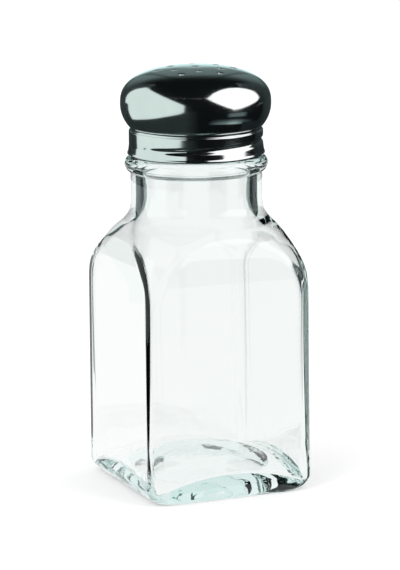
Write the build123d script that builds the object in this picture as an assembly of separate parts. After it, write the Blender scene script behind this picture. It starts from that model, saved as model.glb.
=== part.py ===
from build123d import *
from math import acos, atan2, cos, degrees, hypot, pi, radians, sin, sqrt, tan
import os

# Square glass shaker with a screwed-on, mushroom-shaped metal cap.
# Millimetres. +Z up, origin on the resting plane in the middle of the square base,
# with the flat sides of the body facing along X and Y.

# ---- Jar: body, shoulder and neck ----
base_side = 46.9  # across the flats at the resting plane
top_side = 46.6  # across the flats where the shoulder begins
corner_radius = 3.2  # upright corners, outside
heel_height = 4.4  # the sides start to round under at this height
heel_inset_x = 5.0  # how far the heel draws the foot in from the sides that face along X
heel_inset_y = 1.4  # the same for the sides that face along Y
foot_corner_radius = 4.6  # corners of the foot
heel_steps = 6  # spans of the heel's curve
shoulder_height = 63.1  # where the slope of the shoulder would meet the upright corners
shoulder_rise = 10.9  # from there up to where the slope would meet the neck
shoulder_round = 23.4  # convex rounding at the top of the corners
arch_round = 2.6  # rounding along the arched top edge of each flat side
neck_round = 7.4  # concave rounding between the shoulder and the neck

# ---- Jar: glass thickness ----
wall_top = 2.1  # flat sides, under the shoulder
wall_base = 1.6  # flat sides at the floor, where blowing thins them
inside_corner_radius = 1.4  # upright corners, inside
shoulder_wall = 2.3  # shoulder, measured level
neck_wall = 3.4
floor_height = 9.8  # middle of the inside floor, above the resting plane
floor_ball_radius = 64.0  # the floor is part of this ball: high in the middle, low in the corners
foot_rim = 1.5  # flat rim of the foot beside the hollow, where it is narrowest
push_up_depth = 4.5  # round hollow under the base

# ---- Jar: threaded finish, and the bead below it ----
finish_bore_radius = 14.1
finish_wall = 1.9  # glass between the bore and the root of the thread
finish_length = 10.75  # from the middle of the bead to the rim
rim_round = 0.7
neck_step = 1.7  # how far the neck stands out from the root of the thread
neck_length = 13.25  # from where the slope would meet the neck to the middle of the bead
bead_reach = 1.45  # how far the bead stands out from the neck
bead_round = 2.15  # radius of the bead's section
thread_pitch = 3.5
thread_lift = 4.45  # from the middle of the bead to the start of the glass thread
thread_start_angle = 309.0  # degrees about +Z
thread_turns = 1.1
ridge_round = 0.9  # radius of the glass thread's section
ridge_reach = 1.05  # how far the glass thread stands out from its root

# ---- Cap: one sheet-metal stamping ----
sheet = 0.45
hem_gap = 0.35  # between the bead and the hem
hem_round = 0.5  # radius of the rolled hem's section
hem_reach = 0.45  # how far the hem stands out from the skirt
skirt_gap = 0.4  # between the crest of the glass thread and the inside of the skirt
flare_length = 2.3  # the skirt widens over this length, down to the hem
flare_reach = 0.3  # how much the skirt widens there
neck_in = 0.35  # how far the neck of the cap is drawn in from the skirt
neck_draw = 0.9  # height over which the neck is drawn in
cap_length = 7.4  # from the neck of the cap down to the bottom of the hem
dome_reach = 2.2  # how far the dome stands out from the skirt
dome_under_round = 9.0  # radius of the dome's underside
dome_rise = 9.7  # from the widest level of the dome to its top
dome_fullness = 2.55  # exponent of the dome's outline: 2 is an ellipse, more is boxier
groove_round = 0.8  # radius of the rolled thread groove's section
groove_depth = 0.6  # how deep the groove is rolled into the skirt
groove_turns = 0.85
groove_lead = 0.3  # the groove starts this part of a turn before the glass thread does

# ---- Cap: pouring holes ----
hole_radius = 0.6
dimple_radius = 1.3  # each hole lies in a shallow dimple
dimple_depth = 0.2
inner_ring_radius = 7.1
outer_ring_radius = 10.3
holes_per_ring = 6
inner_ring_angle = 15.6  # degrees about +Z, first hole of the inner ring
outer_ring_angle = 46.6  # degrees about +Z, first hole of the outer ring
crown_steps = 8  # spans of the curve through the dome's outline

# ---- Sealing ring: loose washer caught inside the cap, above its neck ----
ring_thickness = 0.8
ring_gap = 0.3  # over the glass rim, and to the cap all round
ring_overhang = 0.4  # how far the ring reaches over the bore

# ---- Worked out from the sizes above ----
neck_height = shoulder_height + shoulder_rise
bead_height = neck_height + neck_length
finish_radius = finish_bore_radius + finish_wall
neck_radius = finish_radius + neck_step
rim_height = bead_height + finish_length
thread_start_height = bead_height + thread_lift
crest_radius = finish_radius + ridge_reach
skirt_radius = crest_radius + skirt_gap + sheet
widest_side = max(base_side, top_side)
corner_distance = (widest_side / 2 - corner_radius) * sqrt(2) + corner_radius
push_up_radius = base_side / 2 - heel_inset_x - foot_rim

bead_middle_radius = neck_radius + bead_reach - bead_round
hem_middle_radius = skirt_radius + hem_reach - hem_round
hem_distance = bead_round + hem_gap + hem_round
hem_height = bead_height + sqrt(hem_distance**2 - (hem_middle_radius - bead_middle_radius) ** 2)

cap_neck_radius = skirt_radius - neck_in
cap_neck_height = hem_height - hem_round + cap_length
dome_radius = skirt_radius + dome_reach
dome_under_drop = sqrt(
    dome_under_round**2 - (dome_under_round - dome_radius + cap_neck_radius) ** 2
)
dome_height = cap_neck_height + dome_under_drop
groove_start_angle = thread_start_angle - 360 * groove_lead
groove_start_height = thread_start_height + thread_pitch * (0.5 - groove_lead)


# ---- Shared shapes ----
def slope_outline(low_radius, high_radius, low_round, high_round):
    """Side view of a shoulder: upright, sloping in, then upright again."""
    slope = atan2(low_radius - high_radius, shoulder_rise)
    low_cut = low_round * tan(slope / 2)
    high_cut = high_round * tan(slope / 2)
    low_end = (low_radius - low_cut * sin(slope), shoulder_height + low_cut * cos(slope))
    high_start = (high_radius + high_cut * sin(slope), neck_height - high_cut * cos(slope))
    low_arc = TangentArc((low_radius, shoulder_height - low_cut), low_end, tangent=(0, 1))
    straight = Line(low_end, high_start)
    high_arc = TangentArc(
        high_start, (high_radius, neck_height + high_cut), tangent=straight % 1
    )
    return [low_arc, straight, high_arc]


def turned(outline):
    """Solid of revolution inside an outline that runs upwards, in X (radius) and Y (height)."""
    start = outline[0] @ 0
    end = outline[-1] @ 1
    edges = [Line((0, start.Y), start)] + outline
    if end.X > 0:
        edges.append(Line(end, (0, end.Y)))
    edges.append(Line((0, end.Y), (0, start.Y)))
    return revolve(Plane.XZ * make_face(Curve() + edges), Axis.Z)


def side_at(height, side_low, side_high):
    """Width across the flats at a height, from those at the foot and under the shoulder."""
    return side_low + (side_high - side_low) * height / shoulder_height


def tapered_square(side_low, side_high, corner, bottom, top):
    """Upright square bar with rounded corners; the sides are those at two known levels."""

    def section(height):
        side = side_at(height, side_low, side_high)
        return Pos(0, 0, height) * RectangleRounded(side, side, corner)

    return loft([section(bottom), section(top)], ruled=True)


def helical_bar(section_radius, helix_radius, turns, start_height, start_angle):
    """Round bar wound right-handed about the axis, with rounded ends."""
    helix = Helix(pitch=thread_pitch, height=turns * thread_pitch, radius=helix_radius)
    section = Plane(origin=helix @ 0, z_dir=helix % 0) * Circle(section_radius)
    bar = sweep(section, path=helix, is_frenet=True)
    for share in (0, 1):
        bar += Plane(origin=helix @ share, z_dir=helix % share) * Sphere(section_radius)
    return Pos(0, 0, start_height) * Rot(0, 0, start_angle) * bar


def ring_of_holes(radius, first_angle):
    """Places of the holes evenly spaced on a circle."""
    angles = [radians(first_angle + 360 / holes_per_ring * turn) for turn in range(holes_per_ring)]
    return [(radius * cos(angle), radius * sin(angle)) for angle in angles]


# ---- Glass jar ----
def jar_outside():
    """The glass before it is hollowed: square body, shoulder, neck, bead and finish."""
    shoulder = slope_outline(corner_distance, neck_radius, shoulder_round, neck_round)
    shoulder_start = (shoulder[0] @ 0).Y
    neck_start = (shoulder[-1] @ 1).Y
    bar = tapered_square(base_side, top_side, corner_radius, heel_height, neck_start)
    bar += heel()
    below = Line((corner_distance, 0), (corner_distance, shoulder_start))
    body = bar & turned([below] + shoulder)
    arches = [
        edge
        for edge in body.edges().filter_by(GeomType.BSPLINE)
        if min((edge @ 0).Z, (edge @ 1).Z) > shoulder_start
    ]
    body = fillet(arches, arch_round)
    neck = Pos(0, 0, neck_start) * upright_bar(neck_radius, bead_height - neck_start)
    finish = Pos(0, 0, bead_height) * upright_bar(finish_radius, finish_length)
    finish = fillet(finish.faces().sort_by(Axis.Z)[-1].edges(), rim_round)
    bead = revolve(Plane.XZ * Pos(bead_middle_radius, bead_height) * Circle(bead_round), Axis.Z)
    return body + neck + finish + bead


def heel():
    """Lowest part of the body, rounding under from the sides to the smaller foot."""
    sections = []
    for step in range(heel_steps + 1):
        turn = pi / 2 * step / heel_steps
        height = heel_height * (1 - cos(turn))
        drawn_in = 1 - sin(turn)
        side = side_at(height, base_side, top_side)
        corner = corner_radius + (foot_corner_radius - corner_radius) * drawn_in
        width = side - 2 * heel_inset_x * drawn_in
        depth = side - 2 * heel_inset_y * drawn_in
        sections.append(Pos(0, 0, height) * RectangleRounded(width, depth, corner))
    return loft(sections)


def upright_bar(radius, height):
    """Round bar standing on the XY plane."""
    return Cylinder(radius, height, align=(Align.CENTER, Align.CENTER, Align.MIN))


def jar_inside():
    """The hollow of the jar: square below, round through the neck and the finish."""
    neck_bore_radius = neck_radius - neck_wall
    shoulder = slope_outline(
        corner_distance - shoulder_wall,
        neck_bore_radius,
        shoulder_round - shoulder_wall,
        neck_round + shoulder_wall,
    )
    over_rim = rim_height + floor_height
    bar = tapered_square(
        base_side - 2 * wall_base,
        top_side - 2 * wall_top,
        inside_corner_radius,
        0,
        over_rim,
    )
    bar -= Pos(0, 0, floor_height - floor_ball_radius) * Sphere(floor_ball_radius)
    low = shoulder[0] @ 0
    below = Line((low.X, 0), low)
    neck_bore = Line(shoulder[-1] @ 1, (neck_bore_radius, bead_height))
    step = Line((neck_bore_radius, bead_height), (finish_bore_radius, thread_start_height))
    finish_bore = Line((finish_bore_radius, thread_start_height), (finish_bore_radius, over_rim))
    return bar & turned([below] + shoulder + [neck_bore, step, finish_bore])


def push_up():
    """Shallow round hollow under the base, part of a large ball."""
    ball_radius = (push_up_radius**2 + push_up_depth**2) / (2 * push_up_depth)
    return Pos(0, 0, push_up_depth - ball_radius) * Sphere(ball_radius)


def make_glass_jar():
    """Hollow glass with an external thread of a little over one turn."""
    glass = jar_outside()
    glass += helical_bar(
        ridge_round,
        crest_radius - ridge_round,
        thread_turns,
        thread_start_height,
        thread_start_angle,
    )
    glass -= jar_inside()
    glass -= push_up()
    return glass


# ---- Metal cap ----
def cap_outline(inset):
    """Side view of the cap from the hem to the top, moved in by a part of the sheet."""
    skirt = skirt_radius - inset
    neck = cap_neck_radius - inset
    widest = dome_radius - inset
    under = dome_under_round - inset
    neck_turn = degrees(acos((under - widest + neck) / under))
    neck_level = dome_height - under * sin(radians(neck_turn))
    skirt_top = neck_level - neck_draw
    flare = Line((skirt + flare_reach, hem_height), (skirt, hem_height + flare_length))
    straight = Line((skirt, hem_height + flare_length), (skirt, skirt_top))
    draw_in = Bezier((skirt, skirt_top), (skirt, neck_level - neck_draw / 4), (neck, neck_level))
    underside = CenterArc((widest - under, dome_height), under, -neck_turn, neck_turn)
    crown_points = [
        dome_point(widest, dome_rise - inset, pi / 2 * step / crown_steps)
        for step in range(crown_steps + 1)
    ]
    crown = Spline(crown_points, tangents=[(0, 1), (-1, 0)])
    return [flare, straight, draw_in, underside, crown]


def dome_point(reach, rise, turn):
    """Point of the dome's outline: an ellipse made fuller by its exponent."""
    share = 2 / dome_fullness
    return (reach * abs(cos(turn)) ** share, dome_height + rise * sin(turn) ** share)


def dome_level(radius):
    """Height of the dome's outside at a distance from the axis."""
    share = (radius / dome_radius) ** dome_fullness
    return dome_height + dome_rise * (1 - share) ** (1 / dome_fullness)


def pouring_hole(x, y):
    """Cutter for one hole: an upright drill and the ball that dishes the metal round it."""
    ball_radius = (dimple_radius**2 + dimple_depth**2) / (2 * dimple_depth)
    surface = dome_level(hypot(x, y))
    drill = Pos(x, y, dome_height) * upright_bar(hole_radius, 2 * dome_rise)
    dish = Pos(x, y, surface + ball_radius - dimple_depth) * Sphere(ball_radius)
    return drill + dish


def make_shaker_cap():
    """Domed cap with a rolled hem, a rolled thread and the pouring holes."""
    groove_radius = skirt_radius - groove_depth + groove_round
    groove_place = (groove_radius, groove_turns, groove_start_height, groove_start_angle)
    outside = turned(cap_outline(0)) - helical_bar(groove_round, *groove_place)
    inside = turned(cap_outline(sheet)) - helical_bar(groove_round + sheet, *groove_place)
    cap = outside - inside
    cap += revolve(Plane.XZ * Pos(hem_middle_radius, hem_height) * Circle(hem_round), Axis.Z)
    places = [(0, 0)]
    places += ring_of_holes(inner_ring_radius, inner_ring_angle)
    places += ring_of_holes(outer_ring_radius, outer_ring_angle)
    for x, y in places:
        cap -= pouring_hole(x, y)
    return cap


# ---- Sealing ring ----
def make_sealing_ring():
    """Flat washer over the glass rim, just inside the underside of the dome."""
    low = rim_height + ring_gap
    under = dome_under_round - sheet
    reach = sqrt((under - ring_gap) ** 2 - (dome_height - low) ** 2)
    outer = dome_radius - dome_under_round + reach
    washer = Pos(0, 0, low) * upright_bar(outer, ring_thickness)
    return washer - Pos(0, 0, low) * upright_bar(finish_bore_radius - ring_overhang, ring_thickness)


def build():
    """Makes every piece and writes each to its own STEP file."""
    pieces = {
        "glass_jar": make_glass_jar(),
        "shaker_cap": make_shaker_cap(),
        "sealing_ring": make_sealing_ring(),
    }
    os.makedirs("parts", exist_ok=True)
    for name, piece in pieces.items():
        export_step(piece, f"parts/{name}.step")


build()
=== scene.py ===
"""Square glass shaker with a mushroom-shaped screw cap: meshes, finishes and studio."""

import logging
import math
from dataclasses import dataclass, field
from enum import Enum
from typing import List, Optional, Sequence, Tuple, Union

import bpy
import numpy as np
from mathutils import Matrix, Vector
from mathutils.geometry import delaunay_2d_cdt


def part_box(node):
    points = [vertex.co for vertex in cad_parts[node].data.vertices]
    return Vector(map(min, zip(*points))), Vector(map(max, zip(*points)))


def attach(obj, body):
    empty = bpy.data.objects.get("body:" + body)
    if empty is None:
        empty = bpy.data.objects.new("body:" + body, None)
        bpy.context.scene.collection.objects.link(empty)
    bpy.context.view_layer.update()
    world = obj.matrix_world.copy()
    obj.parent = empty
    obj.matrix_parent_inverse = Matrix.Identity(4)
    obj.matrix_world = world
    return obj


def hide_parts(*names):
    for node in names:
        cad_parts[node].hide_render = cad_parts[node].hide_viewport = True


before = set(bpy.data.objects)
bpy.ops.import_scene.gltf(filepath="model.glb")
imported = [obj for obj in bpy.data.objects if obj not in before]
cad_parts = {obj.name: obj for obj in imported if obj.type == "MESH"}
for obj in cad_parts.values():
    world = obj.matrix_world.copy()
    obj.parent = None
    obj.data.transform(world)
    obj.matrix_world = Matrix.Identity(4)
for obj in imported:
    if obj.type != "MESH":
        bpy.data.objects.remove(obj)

MM = 0.001  # the shaker's sizes are in millimetres, the scene is in metres
QUARTER = math.pi / 2
FULL_TURN = 2 * math.pi
TINY = 1e-6  # millimetres that count as nothing
WHITE = (1.0, 1.0, 1.0, 1.0)
NOISE_ENDS = (0.3, 0.7)  # nearly all values of a noise lie between these

log = logging.getLogger("shaker")

Pair = Tuple[float, float]
Triple = Tuple[float, float, float]
Colour = Triple
Profile = List[Pair]
Fade = Tuple[Pair, ...]
Loop = Sequence[int]
Measure = Union[float, np.ndarray]
Socket = bpy.types.NodeSocket


class Slot(Enum):
    """Material slots of the record."""

    GLASS = "clear_glass"
    METAL = "polished_metal"
    PLASTIC = "ring_plastic"


class Body(Enum):
    """Moving bodies of the frame."""

    JAR = "jar"
    RING = "ring"
    CAP = "cap"


class Sees(Enum):
    """Which rays meet a studio card: those mirrored by a surface, or those sent on by glass."""

    MIRRORS = "glossy"
    GLASS = "transmission"


# ------------------------------------------------------------------ curves and meshes
def smooth_least(first: Measure, second: Measure, blend: float) -> Measure:
    """The lesser of two surfaces, with the crease between them rounded.

    Args:
        first: Reach of the first surface.
        second: Reach of the second surface.
        blend: How near the two come before the rounding starts.

    Returns:
        The rounded lesser reach.
    """
    near = np.maximum(blend - np.abs(first - second), 0.0) / blend
    return np.minimum(first, second) - near * near * blend / 4


def ease(value: Measure) -> Measure:
    """Smooth step from 0 to 1."""
    held = np.clip(value, 0.0, 1.0)
    return held * held * (3 - 2 * held)


def growing(value: float, start: float, end: float) -> float:
    """Smooth step from 0 at one place to 1 at another, which may lie before it."""
    return ease((value - start) / (end - start))


def evenly(start: float, end: float, count: int) -> List[float]:
    """Values from start to end, both included, with as many equal gaps as the count."""
    return [start + (end - start) * step / count for step in range(count + 1)]


def levels(start: float, end: float, spacing: float) -> List[float]:
    """Values from start to end, both included, with equal gaps of about the spacing."""
    return evenly(start, end, max(1, round(abs(end - start) / spacing)))


def round_point(radius: float, turn: float, middle: Pair = (0.0, 0.0)) -> Pair:
    """Point at a distance from a middle, in a direction in radians."""
    return (middle[0] + radius * math.cos(turn), middle[1] + radius * math.sin(turn))


def oblong_reach(angles: np.ndarray, half_x: float, half_y: float, corner: float) -> np.ndarray:
    """Distance from the axis to the outline of an oblong with rounded corners.

    Args:
        angles: Directions about the axis.
        half_x: Half of the width along X.
        half_y: Half of the width along Y.
        corner: Radius of the corners.

    Returns:
        One distance per direction.
    """
    least = 1e-9  # keeps the divisions finite
    along_x = np.maximum(np.abs(np.cos(angles)), least)
    along_y = np.maximum(np.abs(np.sin(angles)), least)
    to_x = half_x / along_x
    to_y = half_y / along_y
    middle_x, middle_y = half_x - corner, half_y - corner
    along = along_x * middle_x + along_y * middle_y
    rounded = along + np.sqrt(np.maximum(along**2 - middle_x**2 - middle_y**2 + corner**2, 0.0))
    reach = np.where(to_x * along_y <= middle_y, to_x, rounded)
    return np.where(to_y * along_x <= middle_x, to_y, reach)


def arc_points(centre: Pair, radius: float, start: float, end: float, count: int) -> Profile:
    """Points of an arc in a half section.

    Args:
        centre: Middle of the arc, as radius and height.
        radius: Radius of the arc.
        start: First direction, in radians, from the outward direction.
        end: Last direction, in radians.
        count: Number of spans.

    Returns:
        The points, ends included.
    """
    return [round_point(radius, turn, centre) for turn in evenly(start, end, count)]


def loop_points(angles: np.ndarray, reach: Measure, height: Measure) -> np.ndarray:
    """Points round the axis, from the reach and the height in each direction."""
    level = np.broadcast_to(height, angles.shape)
    return np.stack([reach * np.cos(angles), reach * np.sin(angles), level], axis=1)


def band(first: Loop, second: Loop, flipped: bool = False) -> List[Loop]:
    """Faces between two loops of points.

    Args:
        first: Point indices of one loop.
        second: Point indices of the other, as many.
        flipped: Whether the faces look the other way.

    Returns:
        One face with four corners for each pair of neighbours.
    """
    faces: List[Loop] = []
    for step, corner in enumerate(first):
        after = (step + 1) % len(first)
        face = (corner, first[after], second[after], second[step])
        faces.append(face[:1] + face[:0:-1] if flipped else face)
    return faces


def add_object(name: str, data: bpy.types.ID) -> bpy.types.Object:
    """Makes an object of a mesh, a lamp or a camera, and adds it to the scene.

    Args:
        name: Name of the object.
        data: What it shows.

    Returns:
        The new object.
    """
    made = bpy.data.objects.new(name, data)
    bpy.context.scene.collection.objects.link(made)
    return made


def mesh_object(name: str, points: np.ndarray, faces: Sequence[Loop]) -> bpy.types.Object:
    """Makes a smooth-shaded object from points in millimetres.

    Args:
        name: Name of the piece.
        points: One row per point.
        faces: Point indices of each face.

    Returns:
        The new object.
    """
    mesh = bpy.data.meshes.new(name)
    mesh.from_pydata((points * MM).tolist(), [], [tuple(face) for face in faces])
    mesh.validate()
    mesh.shade_smooth()
    return add_object(name, mesh)


class LoopMesh:
    """A closed skin made of loops of points, each joined to the one before."""

    def __init__(self, angles: np.ndarray) -> None:
        """Starts an empty skin whose loops have one point in each direction.

        Args:
            angles: Directions of the points of every loop.
        """
        self.angles = angles
        self.points: List[Sequence[float]] = []
        self.faces: List[Loop] = []
        self.last: List[int] = []

    def pole(self, height: float) -> None:
        """Adds a point on the axis and joins it to the last loop, or starts from it.

        Args:
            height: Height of the point.
        """
        index = len(self.points)
        self.points.append((0.0, 0.0, height))
        for step, corner in enumerate(self.last):
            self.faces.append((corner, self.last[(step + 1) % len(self.last)], index))
        self.last = [index]

    def loop(self, reach: Measure, height: Measure) -> List[int]:
        """Adds a loop and joins it to what came before.

        Args:
            reach: Distance from the axis, the same or one per direction.
            height: Height, the same or one per direction.

        Returns:
            The indices of the new points.
        """
        start = len(self.points)
        self.points.extend(loop_points(self.angles, reach, height).tolist())
        ring = list(range(start, len(self.points)))
        if len(self.last) == 1:
            for step, corner in enumerate(ring):
                self.faces.append((self.last[0], ring[(step + 1) % len(ring)], corner))
        elif self.last:
            self.faces += band(self.last, ring)
        self.last = ring
        return ring

    def close_to(self, ring: Loop) -> None:
        """Joins the last loop to an earlier one."""
        self.faces += band(self.last, ring)

    def make(self, name: str) -> bpy.types.Object:
        """Turns the skin into an object."""
        return mesh_object(name, np.array(self.points), self.faces)


# ------------------------------------------------------------------ finishes
@dataclass(frozen=True)
class Noise:
    """A noise in the piece's own space."""

    scale: float  # cells per metre
    detail: float  # finer layers
    stretch: Triple = (1, 1, 1)  # of the scale, along X, Y and Z


class NodeSketch:
    """Short calls for building the nodes of a material or of the world."""

    def __init__(self, owner: Union[bpy.types.Material, bpy.types.World]) -> None:
        """Clears the owner's nodes down to an output.

        Args:
            owner: Material or world that the nodes are for.
        """
        self.owner = owner
        owner.use_nodes = True
        self.tree = owner.node_tree
        self.tree.nodes.clear()
        kind = "World" if isinstance(owner, bpy.types.World) else "Material"
        self.output = self.tree.nodes.new(f"ShaderNodeOutput{kind}")

    def feed(self, target: Socket, value: object) -> None:
        """Links a socket to an input, or sets the input to a plain value.

        Args:
            target: The input.
            value: The socket or the value.
        """
        if isinstance(value, bpy.types.NodeSocket):
            self.tree.links.new(value, target)
        else:
            target.default_value = value

    def node(self, kind: str, **settings: object) -> bpy.types.Node:
        """Adds a node.

        Args:
            kind: Type of the node.
            settings: Its properties and inputs by name, with _ for a space.

        Returns:
            The node.
        """
        made = self.tree.nodes.new(kind)
        for key, value in settings.items():
            if hasattr(made, key):
                setattr(made, key, value)
            else:
                self.feed(made.inputs[key.replace("_", " ")], value)
        return made

    def math(self, operation: str, *values: Union[float, Socket]) -> Socket:
        """Works out a value from others.

        Args:
            operation: What is worked out.
            values: The others, sockets or numbers.

        Returns:
            The result.
        """
        made = self.node("ShaderNodeMath", operation=operation)
        for target, value in zip(made.inputs, values):
            self.feed(target, value)
        return made.outputs[0]

    def join(self, kind: str, first: Socket, second: Socket, **settings: object) -> Socket:
        """Joins two shaders by a node that has them as its last two inputs.

        Args:
            kind: Type of the node.
            first: One shader.
            second: The other.
            settings: Properties and inputs of the node.

        Returns:
            The joined shader.
        """
        made = self.node(kind, **settings)
        for target, shader in zip(list(made.inputs)[-2:], (first, second)):
            self.feed(target, shader)
        return made.outputs["Shader"]

    def place(self) -> Socket:
        """Place in the piece's own space."""
        return self.node("ShaderNodeTexCoord").outputs["Object"]

    def height(self) -> Socket:
        """Height in the piece's own space."""
        return self.node("ShaderNodeSeparateXYZ", Vector=self.place()).outputs["Z"]

    def noise(self, look: Noise) -> Socket:
        """Adds a noise.

        Args:
            look: How coarse and fine it is.

        Returns:
            The noise value.
        """
        mapping = self.node("ShaderNodeMapping", Scale=look.stretch, Vector=self.place())
        place = mapping.outputs["Vector"]
        noise = self.node("ShaderNodeTexNoise", Scale=look.scale, Detail=look.detail, Vector=place)
        return noise.outputs["Fac"]

    def spread(self, value: Socket, low: float, high: float, ends: Pair = NOISE_ENDS) -> Socket:
        """Maps a value onto a range.

        Args:
            value: Value to map.
            low: Result at the first end and before it.
            high: Result at the second end and past it.
            ends: The value's own ends.

        Returns:
            The mapped value.
        """
        remap = self.node("ShaderNodeMapRange", Value=value, To_Min=low, To_Max=high)
        self.feed(remap.inputs["From Min"], ends[0])
        self.feed(remap.inputs["From Max"], ends[1])
        return remap.outputs["Result"]

    def tint(self, value: Socket, low: Colour, high: Colour) -> Socket:
        """Maps a noise value onto a run of colours.

        Args:
            value: Value to map.
            low: Colour at the low end of the noise.
            high: Colour at its high end.

        Returns:
            The colour.
        """
        ramp = self.node("ShaderNodeValToRGB", Fac=value)
        for stop, where, colour in zip(ramp.color_ramp.elements, NOISE_ENDS, (low, high)):
            stop.position = where
            stop.color = (*colour, 1)
        return ramp.outputs["Color"]

    def bump(self, value: Socket, depth: float) -> Socket:
        """Normal of a surface that is raised by a value, up to a depth in metres."""
        bump = self.node("ShaderNodeBump", Height=value, Distance=depth, Strength=1.0)
        return bump.outputs["Normal"]

    def close(self, surface: Socket, volume: Optional[Socket] = None) -> bpy.types.ID:
        """Links the output.

        Args:
            surface: What the surface shows.
            volume: What the inside does to light.

        Returns:
            The owner of the nodes.
        """
        self.feed(self.output.inputs["Surface"], surface)
        if volume is not None:
            self.feed(self.output.inputs["Volume"], volume)
        return self.owner


def start_material(name: str) -> NodeSketch:
    """A new material that has only its output."""
    return NodeSketch(bpy.data.materials.new(name))


@dataclass(frozen=True)
class ClearGlass:
    """Fire-polished soda-lime glass, faintly green where it is thick, with a swirl in the foot."""

    bend: float = 1.52
    thin_tint: Tuple[Colour, Colour] = ((0.985, 0.995, 0.99), (0.992, 1.0, 0.997))
    thick_tint: Colour = (0.50, 0.78, 0.74)
    absorption: float = 14.0
    haze: Pair = (0.0, 0.008)
    mottle: Noise = Noise(90.0, 2.0)
    ripple: Noise = Noise(45.0, 1.0, (1, 1, 0.5))
    ripple_depth: float = 0.00002
    swirl: Noise = Noise(130.0, 1.5, (1, 1, 0.6))
    swirl_depth: float = 0.0005
    swirl_levels: Pair = (0.0125, 0.004)  # metres: it starts at the first and is full at the second

    def material(self) -> bpy.types.Material:
        """Builds the glass material.

        Returns:
            The material.
        """
        sketch = start_material("clear_glass")
        mottle = sketch.noise(self.mottle)
        low = sketch.spread(sketch.height(), 0.0, 1.0, self.swirl_levels)
        swirl = sketch.math("MULTIPLY", low, sketch.noise(self.swirl))
        ripple = sketch.noise(self.ripple)
        relief = sketch.math("MULTIPLY_ADD", swirl, self.swirl_depth / self.ripple_depth, ripple)
        shader = sketch.node(
            "ShaderNodeBsdfPrincipled",
            IOR=self.bend,
            Transmission_Weight=1.0,
            Base_Color=sketch.tint(mottle, *self.thin_tint),
            Roughness=sketch.spread(mottle, *self.haze),
            Normal=sketch.bump(relief, self.ripple_depth),
        )
        inside = sketch.node("ShaderNodeVolumeAbsorption")
        inside.inputs["Color"].default_value = (*self.thick_tint, 1)
        inside.inputs["Density"].default_value = self.absorption
        return sketch.close(shader.outputs["BSDF"], inside.outputs["Volume"])


@dataclass(frozen=True)
class PolishedSteel:
    """Mirror-polished sheet with the faintest wheel marks."""

    tints: Tuple[Colour, Colour] = ((0.78, 0.80, 0.80), (0.84, 0.86, 0.86))
    gloss: Pair = (0.1, 0.13)
    clouds: Noise = Noise(120.0, 3.0)
    marks: Noise = Noise(160.0, 4.0, (1, 1, 14))
    mark_depth: float = 0.00000004

    def material(self) -> bpy.types.Material:
        """Builds the metal material.

        Returns:
            The material.
        """
        sketch = start_material("polished_metal")
        marks = sketch.noise(self.marks)
        shader = sketch.node(
            "ShaderNodeBsdfPrincipled",
            Metallic=1.0,
            Base_Color=sketch.tint(sketch.noise(self.clouds), *self.tints),
            Roughness=sketch.spread(marks, *self.gloss),
            Normal=sketch.bump(marks, self.mark_depth),
        )
        return sketch.close(shader.outputs["BSDF"])


@dataclass(frozen=True)
class MilkyPlastic:
    """Soft moulded polythene of the washer."""

    tints: Tuple[Colour, Colour] = ((0.80, 0.82, 0.80), (0.90, 0.91, 0.89))
    gloss: Pair = (0.35, 0.5)
    milkiness: float = 0.2
    glow_reach: Triple = (0.002, 0.002, 0.002)
    grain: Noise = Noise(700.0, 3.0)
    grain_depth: float = 0.00001

    def material(self) -> bpy.types.Material:
        """Builds the plastic material.

        Returns:
            The material.
        """
        sketch = start_material("ring_plastic")
        grain = sketch.noise(self.grain)
        shader = sketch.node(
            "ShaderNodeBsdfPrincipled",
            Subsurface_Weight=self.milkiness,
            Subsurface_Radius=self.glow_reach,
            Base_Color=sketch.tint(grain, *self.tints),
            Roughness=sketch.spread(grain, *self.gloss),
            Normal=sketch.bump(grain, self.grain_depth),
        )
        return sketch.close(shader.outputs["BSDF"])


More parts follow.
